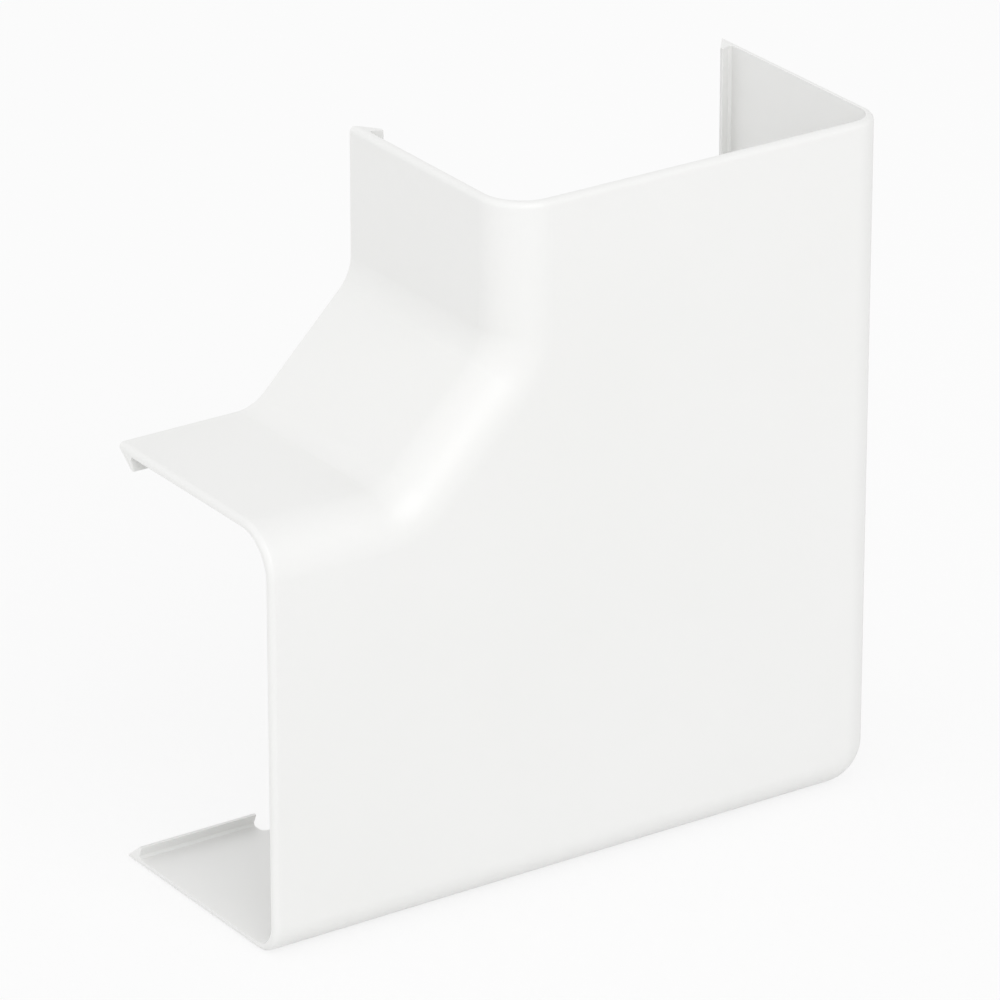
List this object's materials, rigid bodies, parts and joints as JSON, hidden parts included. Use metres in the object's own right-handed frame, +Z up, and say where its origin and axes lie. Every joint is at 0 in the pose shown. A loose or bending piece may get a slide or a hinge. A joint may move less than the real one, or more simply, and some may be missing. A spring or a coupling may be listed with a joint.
{
  "type": "trunking flat angle",
  "caption": "White moulded flat angle cover for wide cable trunking, open at the back and both arm ends, with a slanted wall across the inner corner and snap lips along its rim.",
  "frame": {"origin": "centre of the bounding box's base, on the surface that the bottom wall stands on", "axes": "+Y from the face towards the wall behind, +Z up the top arm, and the left arm runs towards -X"},
  "size_m": [0.1334, 0.0508, 0.1334],
  "materials": {
    "white_plastic": "smooth moulded rigid plastic with a satin gloss"
  },
  "bodies": {
    "root": {"flat_angle_cover": "white_plastic"}
  },
  "joints": []
}
